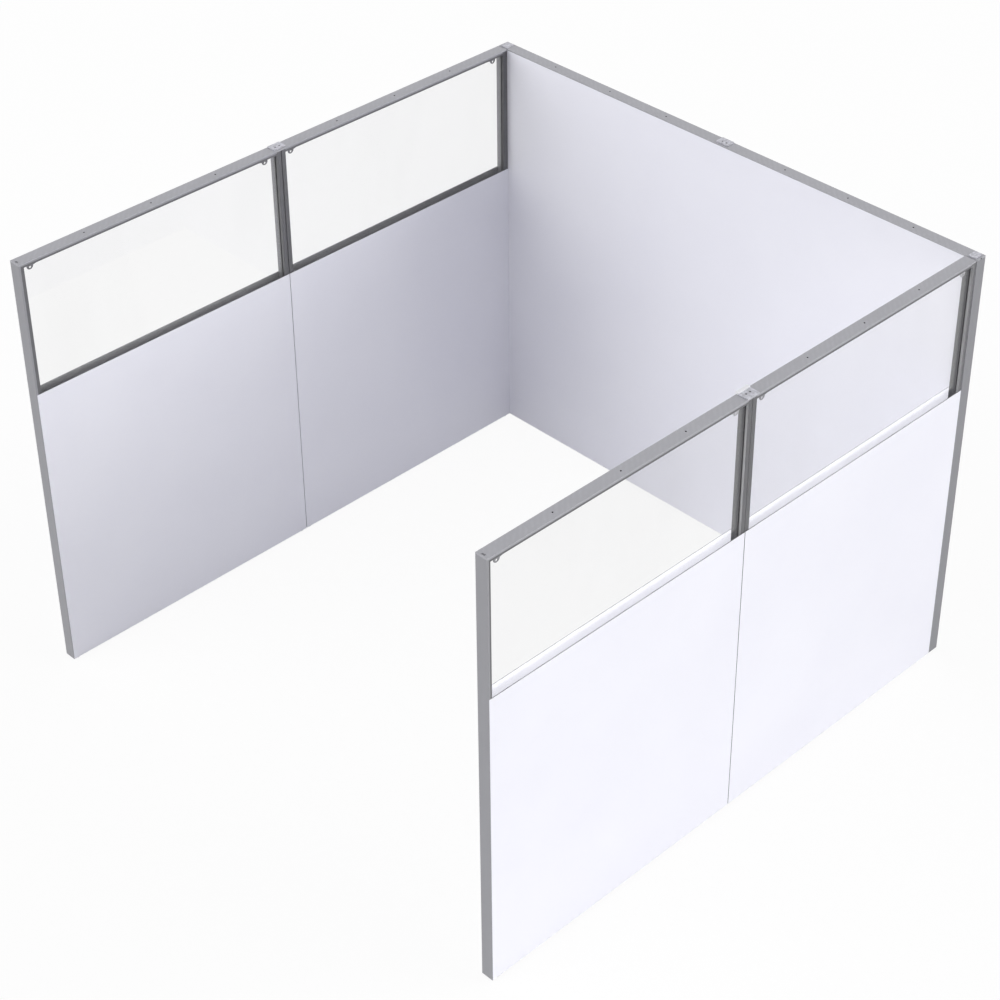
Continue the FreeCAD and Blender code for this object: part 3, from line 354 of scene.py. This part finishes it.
def clip_metal_painted_light(name, left, right, pale_painted_light):
    """Glazing clips of one metal, in painted shade on the left wall and painted light on the right, and
    painted lighter still at the right wall's rear ends.
    """
    roughness = 0.42
    made = Surface(name, roughness, metallic=0.4)
    # Painted light: the clips on the right wall are painted paler than the same clips on the left, and paler
    # still past the seam and by the back corner.
    on_right = made.beyond("x", 0.0)
    place = made.part(made.place, "y")
    low, high = PAINTED_LIGHT_CLIPS_PAST_SEAM
    past_low = made.span(place, low, low + 1 * MM)
    before_high = made.span(place, high, high - 1 * MM)
    past_seam = made.math("MULTIPLY", past_low, before_high)
    corner_painted_light_mask = made.span(place, PAINTED_LIGHT_CLIPS_AT_CORNER, PAINTED_LIGHT_CLIPS_AT_CORNER + 1 * MM)
    rear_end_painted_light = made.math("MULTIPLY", on_right, made.math("MAXIMUM", past_seam, corner_painted_light_mask))
    colour = made.blend(rear_end_painted_light, made.blend(on_right, left, right), pale_painted_light)
    return finish_metal(made, metal_grain(made, "z"), colour, grey(120, 3), roughness, edge=0.4 * MM)


def coated(name, base, fleck, roughness, pebble):
    """Painted or moulded surface with a fine pebble and uneven gloss."""
    made = Surface(name, roughness)
    fine = made.noise(scale=pebble, detail=3.0)
    cloud = made.noise(scale=30.0, detail=4.0, shift=4.0)
    colour = made.blend(made.span(cloud, 0.35, 0.7), base, fleck)
    rubbed = made.math("MULTIPLY", made.edges(0.6 * MM), made.span(cloud, 0.4, 0.65, 0.0, 0.6))
    made.paint(made.blend(rubbed, colour, [min(1.0, 1.6 * share + 0.02) for share in fleck[:3]] + [1.0]))
    made.gloss(made.span(cloud, 0.3, 0.7, roughness - 0.07, roughness + 0.07))
    made.relief(fine, depth=0.06 * MM, strength=0.6)
    return made.material


def window_glass(name):
    """Clear pane with a faint tint and smears, which lets the lamps' light through."""
    made = Surface(name, roughness=0.0, IOR=1.45, Transmission_Weight=1.0)
    smear = made.patches(0.45, 0.75, scale=3.0, detail=4.0, stretch=(1, 1, 0.35))
    made.paint(made.blend(smear, grey(248), grey(245)))
    made.gloss(made.span(smear, 0.0, 1.0, 0.0, 0.006))
    clear = made.add("ShaderNodeBsdfTransparent")
    clear.inputs["Color"].default_value = grey(246)
    path = made.add("ShaderNodeLightPath")
    pick = made.add("ShaderNodeMixShader")
    made.join(path.outputs["Is Shadow Ray"], pick.inputs[0])
    made.join(made.shader.outputs[0], pick.inputs[1])
    made.join(clear.outputs[0], pick.inputs[2])
    made.join(pick.outputs[0], made.output.inputs["Surface"])
    return made.material


def fibre_board(name):
    """Brown cellular board inside the panels."""
    made = Surface(name, roughness=0.9)
    fibres = made.patches(0.3, 0.7, scale=260.0, detail=5.0, stretch=(1, 1, 0.3))
    made.paint(made.blend(fibres, srgb(134, 110, 80), srgb(178, 152, 116)))
    made.gloss(made.span(fibres, 0.0, 1.0, 0.8, 0.98))
    made.relief(fibres, depth=0.2 * MM, strength=0.5)
    return made.material


INNER_SKIN = laminate("laminate_inner", PALE_EDGE)
OUTER_SKIN = {
    "left": laminate("laminate_outer_left", DARK_EDGE, outside=("x", -1)),
    "right": laminate("laminate_outer_right", DARK_EDGE, outside=("x", 1)),
}
CAP_TONES = (grey(173, 6), grey(178, 6), grey(188, 6))
CAP = {
    "x": cap_metal("top_cap_x", *CAP_TONES, grain="x", middle=BACK_MIDDLE),
    "y": cap_metal("top_cap_y", *CAP_TONES, grain="y", middle=SIDE_MIDDLE),
}
# The back wall's end strips are the same metal as the front ones, painted darker as painted shade for the
# light on their faces.
END_CAP = {
    "front": metal("end_strip_front", grey(152, 5), grey(172, 6), metallic=0.35, roughness=0.45),
    "back": metal("end_strip_back_painted_shade", grey(141, 5), grey(159, 6), metallic=0.35, roughness=0.45),
}
# The left and right frames are one metal painted in two sets of tones: painted light and painted shade for
# how light falls on each wall.
FRAME = {
    "left": painted_light_frame(
        "left", face=grey(106, 3), rail_painted_lighter=grey(148, 4), sunk_tone_painted_light=grey(140, 3), lip_behind_pane_painted_light=grey(136, 3),
        lip_before_pane_painted_light=grey(130, 3), corner_face_painted_lighter=grey(116, 3), corner_lip_painted_shade=grey(98, 3)),
    "right": painted_light_frame(
        "right", face=grey(106, 3), rail_painted_lighter=grey(157, 5), sunk_tone_painted_light=grey(116, 3), lip_behind_pane_painted_light=grey(80, 3),
        lip_before_pane_painted_light=grey(188, 3), corner_face_painted_lighter=grey(124, 3), corner_lip_painted_shade=grey(180, 3)),
    "back": metal("frame_back", grey(122, 3), WORN_FRAME, FRAME_METALLIC, FRAME_ROUGHNESS),
}
PLATE = {axis: plate_metal("plate_" + axis, grey(212, 9), grey(184, 8), axis) for axis in "xy"}
HOOK = metal("hook_over", grey(240, 5), grey(248, 4), metallic=0.1, roughness=0.4, grain="y")
# Clip tones: painted shade on the left wall, painted light on the right.
CLIP = clip_metal_painted_light("clip", left=grey(116, 3), right=grey(142, 4), pale_painted_light=grey(176, 4))
SCREW = metal("screw", grey(104, 4), grey(150, 4), metallic=0.7, roughness=0.4, edge=0.3 * MM)
END_SCREW = metal("end_screw", grey(150, 5), grey(180, 4), metallic=0.4, roughness=0.42, edge=0.3 * MM)
BOLT = metal("bolt", grey(150, 2), grey(180, 2), metallic=0.9, roughness=0.35, grain="x")
GLASS = window_glass("pane")
RUBBER = coated("gasket_rubber", grey(88, 2), grey(100, 2), roughness=0.7, pebble=700.0)
BOARD = fibre_board("cell_board")
BLACK = coated("glide_black", grey(34, 1), grey(42, 1), roughness=0.55, pebble=500.0)
THREAD = metal("glide_thread", grey(120, 2), grey(165, 2), metallic=0.8, roughness=0.38, edge=0.2 * MM)


def dress(name, material):
    """Give a CAD node one material on every slot."""
    mesh = NODES[name].data
    if not mesh.materials:
        mesh.materials.append(material)
    for index in range(len(mesh.materials)):
        mesh.materials[index] = material


WELD_DISTANCE = 0.005 * MM
BEVEL_ANGLE = 40
SKIN_BEVEL = 0.4 * MM
METAL_BEVEL = 0.3 * MM


def soften(name, width):
    """Round the sharp edges of a CAD node a little."""
    node = NODES[name]
    weld = node.modifiers.new("weld", "WELD")
    weld.merge_threshold = WELD_DISTANCE
    bevel = node.modifiers.new("bevel", "BEVEL")
    bevel.width = width
    bevel.segments = 2
    bevel.limit_method = "ANGLE"
    bevel.angle_limit = math.radians(BEVEL_ANGLE)
    bevel.harden_normals = True


for bay in BAYS:
    wall = bay.split("_")[0]
    dress("frame_" + bay, FRAME[wall])
    dress("core_" + bay, BOARD)
    dress("top_cap_" + bay, CAP["x" if wall == "back" else "y"])
for bay in GLAZED:
    dress("inner_skin_" + bay, INNER_SKIN)
    dress("outer_skin_" + bay, OUTER_SKIN[bay.split("_")[0]])
    dress("glass_" + bay, GLASS)
    dress("gasket_" + bay, RUBBER)
    for side in ("inner_skin_", "outer_skin_"):
        soften(side + bay, SKIN_BEVEL)
for name in ("inner_skin_back", "outer_skin_back"):
    dress(name, INNER_SKIN)
soften("outer_skin_back", SKIN_BEVEL)
for end in ("left_front", "right_front", "back_left", "back_right"):
    dress("end_cap_" + end, END_CAP["back" if end.startswith("back") else "front"])
    soften("end_cap_" + end, METAL_BEVEL)
dress("splice_plates", PLATE["y"])
dress("corner_plates", PLATE["x"])
dress("hook_over_block", HOOK)
dress("glazing_clips", CLIP)
for name in ("splice_plates", "corner_plates", "glazing_clips"):
    soften(name, METAL_BEVEL)
dress("connector_bolts", BOLT)


# Turned pieces: each is a stack of rings, a ring being a height and a function from angle to radius

SHARP_ANGLE = 32


def round_ring(radius):
    """Give the outline of a circle."""
    return lambda angle: radius


def hexagon_ring(flats):
    """Give the outline of a hexagon by the distance from its middle to a flat."""
    sector = math.pi / 3
    return lambda angle: flats / math.cos(angle % sector - sector / 2)


def ribbed_ring(radius, depth, count):
    """Give the outline of a grip with shallow ribs."""
    return lambda angle: radius - depth * (0.5 - 0.5 * math.cos(count * angle))


def stack_rings(shape, rings, steps, material_index):
    """Loft one closed skin through rings of (height, outline)."""
    loops = []
    for height, outline in rings:
        loop = []
        for step in range(steps):
            angle = 2 * math.pi * step / steps
            radius = outline(angle)
            rise = height(angle) if callable(height) else height
            loop.append(shape.verts.new((radius * math.cos(angle), radius * math.sin(angle), rise)))
        loops.append(loop)
    made = []
    for low, high in zip(loops, loops[1:]):
        for step in range(steps):
            follow = (step + 1) % steps
            made.append(shape.faces.new((low[step], low[follow], high[follow], high[step])))
    made.append(shape.faces.new(loops[0][::-1]))
    made.append(shape.faces.new(loops[-1]))
    for face in made:
        face.material_index = material_index


def turned_mesh(name, stacks, materials):
    """Make a mesh of several stacks of rings, smooth but for its sharp edges."""
    mesh = bpy.data.meshes.new(name)
    shape = bmesh.new()
    for stack in stacks:
        stack_rings(shape, *stack)
    bmesh.ops.recalc_face_normals(shape, faces=shape.faces)
    for face in shape.faces:
        face.smooth = True
    for edge in shape.edges:
        if len(edge.link_faces) == 2 and edge.calc_face_angle(0.0) > math.radians(SHARP_ANGLE):
            edge.smooth = False
    shape.to_mesh(mesh)
    shape.free()
    for material in materials:
        mesh.materials.append(material)
    return mesh


def stand(name, mesh, place, body):
    """Put a piece of this mesh at a place and let it ride on a body."""
    piece = bpy.data.objects.new(name, mesh)
    piece.location = place
    bpy.context.scene.collection.objects.link(piece)
    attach(piece, body)
    return piece


# Screws of the seam plates and the front ends, each with a rounded head, a hexagon socket and a shank

HEAD_RADIUS = 4.0 * MM
HEAD_HEIGHT = 1.6 * MM
SOCKET_FLATS = 1.25 * MM
SOCKET_DEPTH = 1.1 * MM
SHANK_RADIUS = 2.5 * MM
SHANK_TIP = 0.6 * MM
SCREW_STEPS = 48
END_BITE = 11.0 * MM
PLATE_BITE = 14.5 * MM
END_SEAT = 1.8348
PLATE_SEAT = 1.8383
FRONT_SCREW = -1.2346
SCREW_STEP = 10.0 * MM
SCREW_TURN = 37


def screw_rings(shank_length):
    """Give the rings of one screw, from its tip to the floor of its socket."""
    crown = HEAD_HEIGHT
    socket = hexagon_ring(SOCKET_FLATS)
    return [
        (-shank_length, round_ring(SHANK_RADIUS - SHANK_TIP)),
        (SHANK_TIP - shank_length, round_ring(SHANK_RADIUS)),
        (0.0, round_ring(SHANK_RADIUS)), (0.0, round_ring(HEAD_RADIUS)),
        (0.5 * crown, round_ring(HEAD_RADIUS)), (0.72 * crown, round_ring(0.97 * HEAD_RADIUS)),
        (0.88 * crown, round_ring(0.89 * HEAD_RADIUS)), (0.97 * crown, round_ring(0.74 * HEAD_RADIUS)),
        (crown, round_ring(0.55 * HEAD_RADIUS)), (crown, hexagon_ring(1.12 * SOCKET_FLATS)),
        (crown - 0.1 * MM, socket), (crown - SOCKET_DEPTH, socket),
        (crown - SOCKET_DEPTH - 0.3 * MM, hexagon_ring(0.3 * SOCKET_FLATS)),
    ]


plate_screw = turned_mesh("splice_screw", [(screw_rings(PLATE_BITE), SCREW_STEPS, 0)], [SCREW])
end_screw = turned_mesh("end_screw", [(screw_rings(END_BITE), SCREW_STEPS, 0)], [END_SCREW])
screw_places = []
for sign in (-1, 1):
    screw_places += [
        ("left", plate_screw, (-SIDE_MIDDLE, SEAM_MIDDLE + sign * SCREW_STEP, PLATE_SEAT)),
        ("right", plate_screw, (SIDE_MIDDLE, SEAM_MIDDLE + sign * SCREW_STEP, PLATE_SEAT)),
        ("back", plate_screw, (sign * SCREW_STEP, BACK_MIDDLE, PLATE_SEAT)),
        ("front", end_screw, (sign * SIDE_MIDDLE, FRONT_SCREW, END_SEAT)),
    ]
for number, (where, mesh, place) in enumerate(screw_places):
    screw = stand("screw_%s_%d" % (where, number), mesh, place, "walls")
    screw.rotation_euler[2] = math.radians(SCREW_TURN * number)
    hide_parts("cap_screws")


# Levelling glides: a ribbed foot, a hexagon collar and a threaded stem

PAD_RADIUS = 19.0 * MM
PAD_HEIGHT = 5.0 * MM
RIBS = 24
COLLAR_TOP = 8.0 * MM
COLLAR_FLATS = 6.0 * MM
STEM_TOP = 40.0 * MM
THREAD_CREST = 4.0 * MM
THREAD_ROOT = 3.45 * MM
THREAD_PITCH = 1.25 * MM
FOOT_STEPS = 96
COLLAR_STEPS = 36
THREAD_STEPS = 24


def foot_rings():
    """Give the rings of a glide's foot, from the floor to under its collar."""
    grip = ribbed_ring(PAD_RADIUS, 0.35 * MM, RIBS)
    return [
        (0.0, round_ring(PAD_RADIUS - 1.4 * MM)), (0.25 * MM, round_ring(PAD_RADIUS - 0.7 * MM)),
        (0.9 * MM, grip), (2.7 * MM, grip), (3.4 * MM, ribbed_ring(PAD_RADIUS - 0.5 * MM, 0.3 * MM, RIBS)),
        (3.9 * MM, round_ring(PAD_RADIUS - 1.7 * MM)), (4.3 * MM, round_ring(PAD_RADIUS - 4.5 * MM)),
        (4.5 * MM, round_ring(0.5 * PAD_RADIUS)), (PAD_HEIGHT, round_ring(0.42 * PAD_RADIUS)),
        (PAD_HEIGHT, round_ring(0.2 * PAD_RADIUS)),
    ]


def collar_rings():
    """Give the rings of a glide's hexagon collar with its chamfered corners."""
    low, high = PAD_HEIGHT - 0.3 * MM, COLLAR_TOP
    return [
        (low, round_ring(0.7 * COLLAR_FLATS)), (low, hexagon_ring(COLLAR_FLATS)),
        (high - 0.5 * MM, hexagon_ring(COLLAR_FLATS)), (high, round_ring(COLLAR_FLATS)),
        (high, round_ring(THREAD_ROOT)),
    ]


def thread_rings():
    """Give the rings of a glide's stem, which climb with the angle and so make a screw thread."""
    low, high = COLLAR_TOP - 0.5 * MM, STEM_TOP - 0.6 * MM
    rings = [(low, round_ring(THREAD_ROOT))]
    half_turns = int(2 * (high - low) / THREAD_PITCH) + 2

    def climb(start):
        return lambda angle: min(high, max(low, start + THREAD_PITCH * angle / (2 * math.pi)))

    for half in range(half_turns):
        radius = THREAD_CREST if half % 2 else THREAD_ROOT
        rings.append((climb(low - THREAD_PITCH + half * THREAD_PITCH / 2), round_ring(radius)))
    rings.append((high, round_ring(THREAD_ROOT)))
    rings.append((STEM_TOP, round_ring(THREAD_ROOT - 0.7 * MM)))
    return rings


glide_stacks = [
    (foot_rings(), FOOT_STEPS, 0),
    (collar_rings(), COLLAR_STEPS, 0),
    (thread_rings(), THREAD_STEPS, 1),
]
glide_mesh = turned_mesh("glide", glide_stacks, [BLACK, THREAD])
for index, name in enumerate(GLIDES):
    low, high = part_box(name)
    middle = [(low[axis] + high[axis]) / 2 for axis in (0, 1)]
    foot = stand(name + "_foot", glide_mesh, (*middle, 0.0), name)
    foot.rotation_euler[2] = math.radians(90 * index)
    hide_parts(name)


# Floor and sky

FLOOR_HALF = 60.0
FLOOR_DROP = 0.4 * MM
FLOOR_WHITE = 0.85
FLOOR_LIGHT = 0.12
FLOOR_GLOW_SHARE = 0.92
SKY_LIGHT = 0.09

# Azimuth and elevation in degrees, and strength; azimuth 0 is towards +X and 90 towards +Y

SKY_LOBES = ((45, 10, 6.3), (45, 40, 0.9), (225, 12, 2.85), (250, 42, 2.65))
LOBE_SHARPNESS = 10.0


def plain_sheet(name, half, height):
    """Make one square face."""
    mesh = bpy.data.meshes.new(name)
    shape = bmesh.new()
    corners = [(x * half, y * half, height) for x, y in ((-1, -1), (1, -1), (1, 1), (-1, 1))]
    shape.faces.new([shape.verts.new(corner) for corner in corners])
    shape.to_mesh(mesh)
    shape.free()
    made = bpy.data.objects.new(name, mesh)
    bpy.context.scene.collection.objects.link(made)
    return made


def background_share(tree):
    """Give 1 to rays of the camera and to what metal and glass show, and 0 to the light on the object."""
    path = tree.nodes.new("ShaderNodeLightPath")
    share = path.outputs["Is Camera Ray"]
    for output in ("Is Glossy Ray", "Is Transmission Ray"):
        share = work_out(tree, "MAXIMUM", share, path.outputs[output])
    return share


def choose(tree, share, first, second, output):
    """Show the first shader, or by this share the second."""
    mixed = tree.nodes.new("ShaderNodeMixShader")
    join(tree, share, mixed.inputs[0])
    join(tree, first.outputs[0], mixed.inputs[1])
    join(tree, second.outputs[0], mixed.inputs[2])
    join(tree, mixed.outputs[0], output.inputs["Surface"])


def lobe_of_light(tree, towards, azimuth, elevation, strength):
    """Give a soft patch of sky light."""
    turn, rise = math.radians(azimuth), math.radians(elevation)
    level_share = math.cos(rise)
    dot = tree.nodes.new("ShaderNodeVectorMath")
    dot.operation = "DOT_PRODUCT"
    join(tree, towards, dot.inputs[0])
    dot.inputs[1].default_value = (math.cos(turn) * level_share, math.sin(turn) * level_share, math.sin(rise))
    facing = work_out(tree, "MAXIMUM", dot.outputs["Value"], 0.0)
    return work_out(tree, "MULTIPLY", work_out(tree, "POWER", facing, LOBE_SHARPNESS), strength)


floor = plain_sheet("studio_floor", FLOOR_HALF, -FLOOR_DROP)
ground = Surface("studio_floor", roughness=0.9)
ground.paint([FLOOR_WHITE] * 3 + [1.0])
ground.shader.inputs["Specular IOR Level"].default_value = 0.0
ground.shader.inputs["Emission Color"].default_value = PURE_WHITE
ground.shader.inputs["Emission Strength"].default_value = FLOOR_LIGHT
glow = ground.add("ShaderNodeEmission")
glow.inputs["Color"].default_value = PURE_WHITE
glow_share = ground.math("MULTIPLY", background_share(ground.tree), FLOOR_GLOW_SHARE)
choose(ground.tree, glow_share, ground.shader, glow, ground.output)
floor.data.materials.append(ground.material)

world = bpy.data.worlds.new("studio")
bpy.context.scene.world = world
world.use_nodes = True
sky = world.node_tree
lit = sky.nodes["Background"]
lit.inputs["Color"].default_value = PURE_WHITE
towards = sky.nodes.new("ShaderNodeTexCoord").outputs["Generated"]
level = SKY_LIGHT
for lobe in SKY_LOBES:
    level = work_out(sky, "ADD", lobe_of_light(sky, towards, *lobe), level)
join(sky, level, lit.inputs["Strength"])
seen = sky.nodes.new("ShaderNodeBackground")
seen.inputs["Color"].default_value = PURE_WHITE
seen.inputs["Strength"].default_value = 1.0
choose(sky, background_share(sky), lit, seen, sky.nodes["World Output"])


# A soft lamp that fills the pockets under the right-hand windows, and lights nothing else

POCKET_LAMP = 7.6
POCKET_LAMP_SPREAD = 6
POCKET_LAMP_TURN = (33, 0, 62)

pockets = bpy.data.collections.new("pockets")
for bay in ("right_front", "right_rear"):
    pockets.objects.link(NODES["inner_skin_" + bay])
fill = bpy.data.lights.new("pocket_fill", "SUN")
fill.energy = POCKET_LAMP
fill.angle = math.radians(POCKET_LAMP_SPREAD)
lamp = bpy.data.objects.new("pocket_fill", fill)
lamp.rotation_euler = [math.radians(angle) for angle in POCKET_LAMP_TURN]
lamp.light_linking.receiver_collection = pockets
bpy.context.scene.collection.objects.link(lamp)


# Camera at the photograph's viewing angle: place in metres, turn in degrees, sensor and lens in millimetres

CAMERA_PLACE = (5.33089, -5.17396, 6.29774)
CAMERA_TURN = (54.76591, -0.10955, 44.8216)
CAMERA_SENSOR = 36.0
CAMERA_LENS = 87.093
CAMERA_SHIFT = (-0.03894, -0.06245)
CAMERA_REACH = 500.0

camera = bpy.data.objects.new("camera", bpy.data.cameras.new("camera"))
bpy.context.scene.collection.objects.link(camera)
camera.location = CAMERA_PLACE
camera.rotation_euler = [math.radians(angle) for angle in CAMERA_TURN]
camera.data.sensor_width = CAMERA_SENSOR
camera.data.lens = CAMERA_LENS
camera.data.shift_x, camera.data.shift_y = CAMERA_SHIFT
camera.data.clip_end = CAMERA_REACH
bpy.context.scene.camera = camera

bpy.context.scene.view_settings.view_transform = "Standard"
